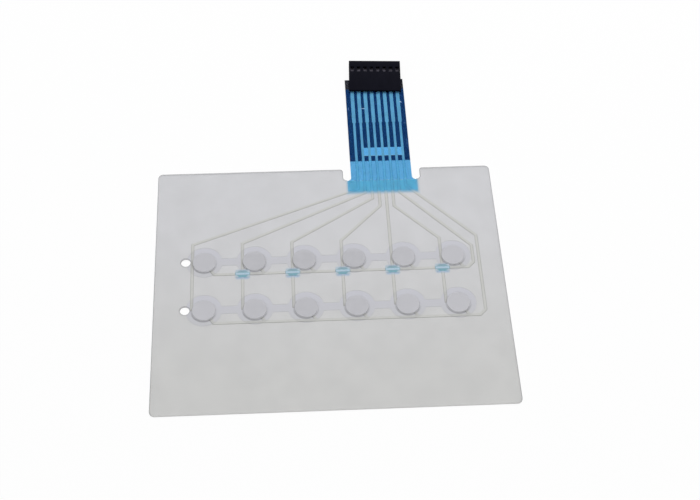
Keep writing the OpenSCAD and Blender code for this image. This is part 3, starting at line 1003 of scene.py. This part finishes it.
@dataclass
class PanelFilms:
    """The stack of films: liner, adhesive, circuit film with its tail, spacer and cover.

    How far a face's normal rises tells what it is on the cover: the flat sheet over flat, a boss's skirt
    under steep, and a cut wall under upright.
    """

    grid: KeyGrid
    tail_reach: float = 13 * MM
    rim: float = 0.22 * MM
    flat: float = 0.999
    steep: float = 0.8
    upright: float = 0.1
    crease: float = 30
    paper: PaperFinish = PaperFinish("liner_paper", (0.6, 0.6, 0.61))
    glue: PaperFinish = PaperFinish("rear_adhesive", (0.55, 0.55, 0.55), roughness=0.5)
    clear: FilmFinish = FilmFinish("tail_film", (0.75, 0.8, 0.85), alpha=0.005, roughness=0.25)
    bare_end: FilmFinish = FilmFinish("bare_film_end", (0.7, 0.7, 0.88), alpha=0.027)
    # The circuit film's cut walls are drawn dark as painted shade, and those at the front a light copy as
    # painted light
    film_edge: FilmFinish = FilmFinish("film_edge", (0.42, 0.42, 0.43))
    front_edge: FilmFinish = FilmFinish("film_front_edge_painted_light", (0.8, 0.8, 0.77))
    spacer: FilmFinish = FilmFinish("spacer_film", (0.85, 0.85, 0.87), alpha=0.015)
    spacer_wall: FilmFinish = FilmFinish("spacer_wall", (0.42, 0.42, 0.45), alpha=0.22)
    cover: FilmFinish = FilmFinish("cover_matte", (0.88, 0.89, 0.92), alpha=0.045)
    under: FilmFinish = FilmFinish("cover_underside", (0.85, 0.86, 0.9), alpha=0.012, roughness=0.3)
    # The cover's cut edges are drawn dark as painted shade, darker still along the rear edge
    cover_rim: FilmFinish = FilmFinish("cover_rim", (0.3, 0.31, 0.32), alpha=0.42)
    cover_wall: FilmFinish = FilmFinish("cover_wall", (0.28, 0.29, 0.3), alpha=0.6)
    rear_rim: FilmFinish = FilmFinish("cover_rear_rim_painted_shade", (0.2, 0.205, 0.21), alpha=0.6)
    # The front walls are a light copy of the walls, as painted light, and the bosses' sides a darker copy of
    # the cover, as painted shade
    front_wall: FilmFinish = FilmFinish("cover_front_wall_painted_light", (0.8, 0.8, 0.77), alpha=0.6)
    skirt: FilmFinish = FilmFinish("boss_skirt_painted_shade", (0.7, 0.7, 0.74), alpha=0.06)

    def circuit_sheet(self) -> None:
        """Builds the circuit film: backed by its adhesive in the panel, and clear along the tail."""
        mesh = merged_copy("circuit_film")
        _, coat_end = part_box("tail_insulator")
        cut_at(mesh, (TAIL_START, coat_end.y))
        parted(mesh, (Side.TOP, Side.BOTTOM), after=TAIL_START + FILM_GAP)
        tail_x = self.tail_x()
        film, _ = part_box("circuit_film")
        for face in mesh.faces:
            middle, side = face.calc_center_median(), Side.of(face)
            if middle.y > TAIL_START and abs(middle.x - tail_x) < self.tail_reach:
                bare = middle.y > coat_end.y and side is Side.TOP
                face.material_index = SheetFace.BARE_END if bare else SheetFace.TAIL
            elif side is Side.WALL:
                # Painted light on the front walls, painted shade on the others
                at_front = middle.y < film.y + 2 * self.rim
                face.material_index = SheetFace.FRONT_EDGE if at_front else SheetFace.EDGE
            else:
                face.material_index = SheetFace.PANEL
        base = CircuitBaseFinish("circuit_base", self.grid)
        finishes = (base, self.clear, self.film_edge, self.bare_end, self.front_edge)
        materials = [finish.material() for finish in finishes]
        finished("circuit_sheet", mesh, materials, "circuit_film")

    def spacer_sheet(self) -> None:
        """Builds the spacer, whose walls round the pockets and channels show a little."""
        mesh = merged_copy("spacer")
        _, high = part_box("spacer")
        tail_x = self.tail_x()
        for face in mesh.faces:
            tall = max(point.co.z for point in face.verts) > high.z - FILM_GAP
            in_notch = self.in_notch(face.calc_center_median(), tail_x)
            face.material_index = 1 if Side.of(face) is Side.WALL and tall and not in_notch else 0
        parted(mesh, (Side.TOP, Side.BOTTOM))
        materials = [self.spacer.material(), self.spacer_wall.material()]
        finished("spacer_sheet", mesh, materials, "spacer")

    def cover_sheet(self) -> None:
        """Builds the cover film: a flat sheet with a cut rim, and a boss over each dome."""
        mesh = merged_copy("cover_film")
        above = [face for face in mesh.faces if face.normal.z > self.upright]
        inset = bmesh.ops.inset_region(mesh, faces=above, thickness=self.rim, use_even_offset=True)
        rims = set(inset["faces"])
        sheet_top = min(face.calc_center_median().z for face in mesh.faces if face.normal.z > self.flat)
        tail_x = self.tail_x()
        low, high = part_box("cover_film")
        for face in mesh.faces:
            face.material_index = self.cover_slot(face, face in rims, sheet_top, (low.y, high.y), tail_x)
        parted(mesh, (Side.BOTTOM,))
        smoothed(mesh, self.crease)
        finishes = (self.cover, self.under, self.cover_rim, self.cover_wall, self.skirt)
        materials = [finish.material() for finish in (*finishes, self.rear_rim, self.front_wall)]
        finished("cover_sheet", mesh, materials, "cover_film")

    def tail_x(self) -> float:
        """Returns the middle of the tail's strip, along X."""
        low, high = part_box("tail_backing")
        return (low.x + high.x) / 2

    def in_notch(self, place: Vector, tail_x: float) -> bool:
        """Returns whether a place lies on the straight end of the notch, where the tail leaves the panel."""
        return abs(place.y - TAIL_START) < 2 * self.rim and abs(place.x - tail_x) < self.tail_reach

    def cover_slot(self, face: Face, on_rim: bool, sheet_top: float, ends: Pair, tail_x: float) -> CoverFace:
        """Returns the finish of a face of the cover film.

        Args:
            face: the face.
            on_rim: whether it belongs to the rim along the film's cut edges.
            sheet_top: the height of the film's flat top.
            ends: the film's front and rear edges, along Y.
            tail_x: the middle of the tail's strip.
        """
        middle = face.calc_center_median()
        at_front = middle.y < ends[0] + 2 * self.rim
        if Side.of(face) is Side.BOTTOM:
            return CoverFace.UNDERSIDE
        # Painted shade on the rims of the cut edges: darker along the rear edge, none along the front
        if on_rim:
            if at_front or self.in_notch(middle, tail_x):
                return CoverFace.FLAT
            return CoverFace.REAR_RIM if middle.y > ends[1] - 2 * self.rim else CoverFace.RIM
        # The walls: a light copy at the front as painted light, dark elsewhere as painted shade
        if abs(face.normal.z) < self.upright:
            if self.in_notch(middle, tail_x):
                return CoverFace.UNDERSIDE
            return CoverFace.FRONT_WALL if at_front else CoverFace.WALL
        # The bosses' steep sides take a darker copy of the cover: painted shade
        over_sheet = max(point.co.z for point in face.verts) > sheet_top + FILM_GAP
        return CoverFace.SKIRT if over_sheet and face.normal.z < self.steep else CoverFace.FLAT

    def build(self) -> None:
        """Builds and dresses the films."""
        dressed("release_liner", self.paper.material())
        dressed("rear_adhesive", self.glue.material())
        self.circuit_sheet()
        self.spacer_sheet()
        self.cover_sheet()


@dataclass
class KeyDomes:
    """The twelve steel snap domes, each spun from its section."""

    radius: float = 4.2 * MM
    height: float = 0.5 * MM
    sheet: float = 0.08 * MM
    skirt_height: float = 0.3 * MM
    lean: float = 0.15 * MM
    shoulder_r: float = 0.05 * MM
    skirt_slope: Pair = (0.05, 0.6)
    crease: float = 40
    turns: int = 72
    crown_steps: int = 10
    # The crown carries a painted highlight towards its rear
    crown: SteelFinish = SteelFinish("dome_steel", (0.505, 0.504, 0.533), rear_highlight=1.05, end_gain=1.065)
    # The skirt is a lighter copy of the steel: painted reflection
    skirt: SteelFinish = SteelFinish("dome_skirt_painted_reflection", (0.68, 0.68, 0.7), roughness=0.6)

    def half_section(self, mesh: Mesh, inset: float) -> list[bmesh.types.BMVert]:
        """Adds a line from the dome's foot over its skirt and crown to the middle.

        Args:
            mesh: the mesh that the line is added to.
            inset: how far the line lies inside the dome's outer face.

        Returns:
            The line's points, from the foot to the middle.
        """
        radius, skirt = self.radius - inset, self.skirt_height - inset
        crown_r = radius - self.lean
        sag = self.height - self.skirt_height
        sphere_r = (crown_r**2 + sag**2) / (2 * sag)
        foot = mesh.verts.new((radius, 0, 0))
        shoulder = mesh.verts.new((crown_r, 0, skirt))
        mesh.edges.new((foot, shoulder))
        bmesh.ops.spin(
            mesh,
            geom=[shoulder],
            cent=Vector((0, 0, skirt + sag - sphere_r)),
            axis=(0, -1, 0),
            angle=math.asin(crown_r / sphere_r),
            steps=self.crown_steps,
            use_duplicate=False,
        )
        line = [foot, shoulder]
        while True:
            onward = [edge.other_vert(line[-1]) for edge in line[-1].link_edges]
            onward = [point for point in onward if point not in line]
            if not onward:
                break
            line.append(onward[0])
        line[-1].co = Vector((0, 0, skirt + sag))
        return line

    def dome_mesh(self) -> Mesh:
        """Returns a dome at the origin: its section spun round, with its shoulder rounded."""
        mesh = bmesh.new()
        outer, inner = self.half_section(mesh, 0), self.half_section(mesh, self.sheet)
        mesh.edges.new((outer[0], inner[0]))
        bmesh.ops.spin(
            mesh,
            geom=[*mesh.verts, *mesh.edges],
            cent=(0, 0, 0),
            axis=(0, 0, 1),
            angle=math.tau,
            steps=self.turns,
            use_merge=True,
        )
        bmesh.ops.remove_doubles(mesh, verts=mesh.verts, dist=MERGE)
        bmesh.ops.recalc_face_normals(mesh, faces=mesh.faces)
        bmesh.ops.bevel(
            mesh,
            geom=[edge for edge in mesh.edges if self.is_shoulder(edge)],
            offset=self.shoulder_r,
            segments=3,
            profile=0.5,
            affect="EDGES",
            material=-1,
        )
        rearness = mesh.verts.layers.float.new(REARNESS)
        for point in mesh.verts:
            point[rearness] = point.co.y / self.radius
        return mesh

    def is_shoulder(self, edge: bmesh.types.BMEdge) -> bool:
        """Returns whether an edge lies on the ring between the outer skirt and crown.

        Args:
            edge: the edge.
        """
        ends = [point.co for point in edge.verts]
        level = all(abs(end.z - self.skirt_height) < NEAR for end in ends)
        return level and all(abs(end.xy.length - self.radius + self.lean) < 5 * NEAR for end in ends)

    def build(self) -> None:
        """Builds the domes, one piece for each key."""
        materials = [self.crown.material(), self.skirt.material()]
        flattest, steepest = self.skirt_slope
        for key in (f"r{row}_c{column}" for row in ROWS for column in COLUMNS):
            low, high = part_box(f"dome_{key}")
            middle = (low + high) / 2
            mesh = self.dome_mesh()
            for face in mesh.faces:
                # Steep faces take the lighter skirt copy: painted reflection
                face.material_index = 1 if flattest < face.normal.z < steepest else 0
            smoothed(mesh, self.crease)
            bmesh.ops.translate(mesh, verts=mesh.verts, vec=(middle.x, middle.y, low.z))
            finished(f"snap_dome_{key}", mesh, materials, f"dome_{key}")


@dataclass
class PrintedCircuit:
    """The silver traces, whose edges are darker than their middles, and the patches that they cross on."""

    grid: KeyGrid
    rim: float = 0.13 * MM
    print_top: float = 0.325 * MM
    step: float = 0.02 * MM
    core: InkFinish = InkFinish("silver_ink", (0.585, 0.585, 0.562))
    # The dark rims stand partly for a thin air gap along each trace and partly for painted shade, darkest
    # along the front edges
    edge: InkFinish = InkFinish("ink_edge", (0.35, 0.345, 0.315))
    front_edge: InkFinish = InkFinish("ink_front_edge_painted_shade", (0.2, 0.198, 0.17))
    under_coat: InkFinish = InkFinish("ink_under_coat", (0.65, 0.67, 0.77))
    on_patch: InkFinish = InkFinish("ink_on_patch", (0.42, 0.575, 0.69))
    patch_edge: InkFinish = InkFinish("ink_edge_on_patch", (0.2, 0.4, 0.47))
    over_black: InkFinish = InkFinish("ink_over_black", (0.685, 0.61, 0.68))
    patch_rear: Color = (0.24, 0.37, 0.44)
    patch_front: Color = (0.15, 0.37, 0.45)

    def trace(self, kind: TraceKind, number: int, materials: list[Material]) -> None:
        """Builds a printed trace with a thin rim along its edges, in the panel and on the open tail.

        Args:
            kind: whether it joins a column or a row of keys.
            number: which column or row that is.
            materials: the ink's materials, in the order of InkFace.
        """
        node = f"{kind.value}_trace_{number}"
        mesh = merged_copy(node)
        joined_flats(mesh)
        backing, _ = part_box("tail_backing")
        coat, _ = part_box("tail_insulator")
        cut_at(mesh, (coat.y, backing.y))
        slid_on_tail(mesh)
        slid_lead_in(mesh, self.grid)
        top = [face for face in mesh.faces if Side.of(face) is Side.TOP]
        for face in top:
            middle = face.calc_center_median()
            if middle.y > coat.y:
                face.material_index = InkFace.OVER_BLACK if middle.y > backing.y else InkFace.UNDER_COAT
            elif middle.z > self.print_top + self.step and kind is TraceKind.ROW:
                face.material_index = InkFace.ON_PATCH
        rimmed = [face for face in top if face.calc_center_median().y < backing.y]
        rims = bmesh.ops.inset_region(mesh, faces=rimmed, thickness=self.rim, use_even_offset=True)["faces"]
        for face in rims:
            on_patch = face.material_index == InkFace.ON_PATCH
            face.material_index = InkFace.PATCH_EDGE if on_patch else self.rim_slot(face)
        finished(f"{kind.value}_print_{number}", mesh, materials, node)

    def rim_slot(self, face: Face) -> InkFace:
        """Returns a rim face's finish: painted shade, darkest where it looks to the front, plain to the rear.

        Args:
            face: the rim's face, which meets a wall of the trace along its outer edge.
        """
        way = outward(face)
        if way.length == 0 or way.y > LEANING:
            return InkFace.CORE
        return InkFace.FRONT_EDGE if way.y < -LEANING else InkFace.EDGE

    def build(self) -> None:
        """Builds the traces and dresses the patches."""
        shaded = (self.core, self.edge, self.front_edge)
        plain = (self.under_coat, self.on_patch, self.patch_edge, self.over_black)
        materials = [ink.material(self.grid) for ink in shaded] + [ink.material() for ink in plain]
        for kind, numbers in ((TraceKind.COLUMN, COLUMNS), (TraceKind.ROW, ROWS)):
            for number in numbers:
                self.trace(kind, number, materials)
        low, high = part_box("crossover_patch_2")
        print_ends = (low.y, high.y)
        patch = PatchFinish("patch_ink", self.patch_rear, self.patch_front, *print_ends, self.grid).material()
        for column in COLUMNS[1:]:
            dressed(f"crossover_patch_{column}", patch)


@dataclass
class FilmTail:
    """The tail's blue coat and black backing, with the window that the coat shines through."""

    grid: KeyGrid
    pitch: float = 2.54 * MM
    window_in: float = 2.7 * MM
    window_len: float = 4.1 * MM
    front_shift: float = 0.23 * MM
    rear_shift: float = 0.41 * MM
    stain: Color = (0.692, 0.94, 0.983)
    panel_tint: Color = (0.362, 0.88, 0.955)
    over_floor: CoatFinish = CoatFinish("coat_clear_below", (0.2, 0.478, 0.713))
    in_window: CoatFinish = CoatFinish("coat_in_window", (0.203, 0.52, 0.84))
    black: MouldedFinish = MouldedFinish(
        "black_film", (0.006, 0.007, 0.01), roughness=0.55, grain_depth=0.002 * MM
    )
    scratches: tuple[Scratch, ...] = (
        Scratch((30.8 * MM, 83.45 * MM), (31.2 * MM, 83.15 * MM), 0.24 * MM, 0.95),
        Scratch((15.45 * MM, 80.3 * MM), (16.75 * MM, 80.2 * MM), 0.2 * MM, 0.9),
        Scratch((15.0 * MM, 80.85 * MM), (15.1 * MM, 80.85 * MM), 0.14 * MM, 0.6),
        Scratch((10.55 * MM, 80.7 * MM), (10.6 * MM, 79.6 * MM), 0.14 * MM, 0.5),
        Scratch((31.95 * MM, 73.5 * MM), (31.95 * MM, 72.5 * MM), 0.14 * MM, 0.4),
        Scratch((32.0 * MM, 65.2 * MM), (32.1 * MM, 60.8 * MM), 0.1 * MM, 0.3),
        Scratch((16.0 * MM, 65.1 * MM), (17.0 * MM, 62.8 * MM), 0.2 * MM, 0.2),
    )

    def coat(self) -> None:
        """Builds the blue coat, whose underside is deeper where no trace or backing lies below."""
        mesh = merged_copy("tail_insulator")
        backing, backing_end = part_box("tail_backing")
        window_y = [y - shift for y, shift in self.window_edges()]
        middle_x = (backing.x + backing_end.x) / 2 + PRINT_SHIFT
        window_x = [middle_x + (way - (len(WAYS) + 1) / 2) * self.pitch for way in (WAYS[1], WAYS[-1])]
        cut_at(mesh, (TAIL_START, backing.y, *window_y))
        cut_at(mesh, window_x, ALONG_X)
        for face in mesh.faces:
            if Side.of(face) is Side.BOTTOM and face.calc_center_median().y < TAIL_START:
                face.material_index = CoatFace.ON_PANEL
        for face in self.faces_between(mesh):
            middle = face.calc_center_median()
            if TAIL_START < middle.y < backing.y:
                face.material_index = CoatFace.OVER_FLOOR
            elif window_y[0] < middle.y < window_y[1] and window_x[0] < middle.x < window_x[1]:
                face.material_index = CoatFace.IN_WINDOW
        slid_on_tail(mesh)
        slid_lead_in(mesh, self.grid)
        parted(mesh, (Side.BOTTOM,))
        low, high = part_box("tail_insulator")
        edges = {"soft_sides": (low.x, high.x), "soft_front": low.y}
        on_panel = CoatFinish("coat_on_panel", self.panel_tint, cover=0.04, **edges)
        stained = CoatFinish("blue_coat", self.stain, scratches=self.scratches)
        materials = [coat.material() for coat in (stained, on_panel, self.over_floor, self.in_window)]
        finished("coat_print", mesh, materials, "tail_insulator")

    def window_edges(self) -> tuple[Pair, Pair]:
        """Returns where the window's edges lie along the tail, and how far each moves towards the panel."""
        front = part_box("tail_backing")[0].y + self.window_in
        return (front, self.front_shift), (front + self.window_len, self.rear_shift)

    def backing(self) -> None:
        """Builds the black film behind the tail, its window's edges moved along the slope to their place."""
        mesh = merged_copy("tail_backing")
        for y, shift in self.window_edges():
            for point in [p for p in mesh.verts if abs(p.co.y - y) < NEAR]:
                level = next(face.normal for face in point.link_faces if Side.of(face) is not Side.WALL)
                point.co += Vector((0, -shift, shift * level.y / level.z))
        finished("backing_film", mesh, [self.black.material()], "tail_backing")

    def faces_between(self, mesh: Mesh) -> list[Face]:
        """Returns the bottom faces that lie on the film, between the traces.

        A face over a trace is the roof of a groove: it meets the walls beside it in hollow edges. Faces that
        touch no wall belong with the faces that they join.

        Args:
            mesh: the coat's mesh.
        """
        open_faces = {face for face in mesh.faces if Side.of(face) is Side.BOTTOM}
        between = []
        while open_faces:
            region, queue = set(), [open_faces.pop()]
            corners = []
            while queue:
                face = queue.pop()
                region.add(face)
                for edge in face.edges:
                    for other in edge.link_faces:
                        if other in open_faces:
                            open_faces.remove(other)
                            queue.append(other)
                        elif Side.of(other) is Side.WALL and abs(other.normal.x) > LEANING:
                            corners.append(edge.is_convex)
            if sum(corners) * 2 > len(corners):
                between.extend(region)
        return between

    def build(self) -> None:
        """Builds the coat and the backing."""
        self.coat()
        self.backing()


@dataclass
class SocketConnector:
    """The black 8-way housing with softened edges, and the contacts in it."""

    edge_radius: float = 0.05 * MM
    sharp: float = 30
    crease: float = 35
    nylon: MouldedFinish = MouldedFinish("black_nylon", (0.0023, 0.0024, 0.0062))
    # The contacts' tin is drawn nearly black: painted shade of the housing's windows that they sit in
    tin: SteelFinish = SteelFinish(
        "contact_metal", (0.064, 0.06, 0.078), roughness=0.4, mottle=0.5, mottle_size=0.5 * MM
    )

    def housing(self) -> None:
        """Builds the housing, with the small radii that a mould leaves on its edges."""
        mesh = merged_copy("connector_housing")
        joined_flats(mesh)
        limit = math.radians(self.sharp)
        outer = [edge for edge in mesh.edges if edge.is_manifold and edge.is_convex]
        bmesh.ops.bevel(
            mesh,
            geom=[edge for edge in outer if edge.calc_face_angle(0) > limit],
            offset=self.edge_radius,
            segments=2,
            profile=0.5,
            affect="EDGES",
            clamp_overlap=True,
            material=-1,
        )
        smoothed(mesh, self.crease)
        finished("socket_housing", mesh, [self.nylon.material()], "connector_housing")

    def build(self) -> None:
        """Builds the housing and dresses the contacts."""
        self.housing()
        # Dark tin: painted shade
        tin = self.tin.material()
        for way in WAYS:
            dressed(f"contact_{way}", tin)


# Studio


@dataclass(frozen=True)
class PhotoCamera:
    """The camera at the photograph's place: where it looks from, with a slight roll."""

    target: Place = (0.00767437, 0.01409412, 0.0)
    distance: float = 0.4678023
    azimuth: float = 4.6642097
    elevation: float = 54.4934374
    roll: float = 2.0026366
    lens: float = 66.857
    sensor: float = 36.0
    clip: Pair = (0.01, 20.0)

    def build(self) -> None:
        """Makes the camera, and makes it the scene's own."""
        turn, tilt, roll = (math.radians(angle) for angle in (self.azimuth, self.elevation, self.roll))
        forward = Vector((math.sin(turn) * math.cos(tilt), math.cos(turn) * math.cos(tilt), -math.sin(tilt)))
        level = forward.cross(UP).normalized()
        upright = level.cross(forward)
        right = math.cos(roll) * level + math.sin(roll) * upright
        top = math.cos(roll) * upright - math.sin(roll) * level
        data = bpy.data.cameras.new("photo_camera")
        data.lens, data.sensor_width = self.lens, self.sensor
        data.clip_start, data.clip_end = self.clip
        camera = bpy.data.objects.new("photo_camera", data)
        turned = Matrix((right, top, -forward)).transposed().to_4x4()
        camera.matrix_world = Matrix.Translation(Vector(self.target) - self.distance * forward) @ turned
        bpy.context.scene.collection.objects.link(camera)
        bpy.context.scene.camera = camera


@dataclass(frozen=True)
class Studio:
    """A plain white floor under soft light from above and behind."""

    ambient: float = 0.55
    lamp_power: float = 5.0
    lamp_size: float = 0.8
    lamp_place: Place = (0.1, 0.5, 0.8)
    lamp_color: Color = (0.985, 0.995, 1.0)
    floor_size: float = 3.0
    floor_z: float = -0.02 * MM
    floor_color: Color = (0.95, 0.95, 0.95)
    floor_share: float = 0.92
    clear_layers: int = 32

    def seen_directly(self, graph: Graph) -> Socket:
        """Returns 1 for rays from the camera, a mirror or glass, and 0 for the others.

        Args:
            graph: the graph that gets the nodes.
        """
        path = graph.add("LightPath")
        share = path.outputs["Is Camera Ray"]
        for name in ("Is Glossy Ray", "Is Transmission Ray"):
            share = graph.math("MAXIMUM", share, path.outputs[name])
        return share

    def world(self) -> None:
        """Makes the world: white where it is seen, and a plain soft light elsewhere."""
        graph = Graph("studio", Owner.WORLD)
        strengths = (self.ambient, 1.0)
        light, seen = (graph.add("Background", Color=WHITE, Strength=value).outputs[0] for value in strengths)
        bpy.context.scene.world = graph.show(graph.layered(self.seen_directly(graph), light, seen))

    def floor(self) -> None:
        """Makes the floor, which is white to the camera and keeps some of the shadow."""
        mesh = bmesh.new()
        bmesh.ops.create_grid(mesh, x_segments=1, y_segments=1, size=self.floor_size / 2)
        bmesh.ops.translate(mesh, verts=mesh.verts, vec=(0, 0, self.floor_z))
        data = bpy.data.meshes.new("studio_floor")
        mesh.to_mesh(data)
        mesh.free()
        graph = Graph("studio_floor")
        paper = graph.add("BsdfDiffuse", Color=self.floor_color).outputs[0]
        white = graph.add("Emission", Color=WHITE, Strength=1.0).outputs[0]
        share = graph.times(self.seen_directly(graph), self.floor_share)
        data.materials.append(graph.show(graph.layered(share, paper, white)))
        floor = bpy.data.objects.new("studio_floor", data)
        bpy.context.scene.collection.objects.link(floor)

    def lamp(self) -> None:
        """Makes the one large soft lamp, above and behind the keypad."""
        data = bpy.data.lights.new("soft_lamp", "AREA")
        data.energy, data.size, data.color = self.lamp_power, self.lamp_size, self.lamp_color
        lamp = bpy.data.objects.new("soft_lamp", data)
        place = Vector(self.lamp_place)
        lamp.matrix_world = Matrix.Translation(place) @ place.to_track_quat("Z", "Y").to_matrix().to_4x4()
        lamp.visible_glossy = False
        bpy.context.scene.collection.objects.link(lamp)

    def build(self) -> None:
        """Builds the world, floor and lamp, and lets light through all of the clear films."""
        self.world()
        self.floor()
        self.lamp()
        bpy.context.scene.view_settings.view_transform = "Standard"
        bpy.context.scene.cycles.transparent_max_bounces = self.clear_layers


def main() -> None:
    """Builds the studio and the keypad's sub-assemblies in order."""
    PhotoCamera().build()
    Studio().build()
    grid = KeyGrid.measured()
    PanelFilms(grid).build()
    KeyDomes().build()
    PrintedCircuit(grid).build()
    FilmTail(grid).build()
    SocketConnector().build()


if __name__ == "__main__":
    main()
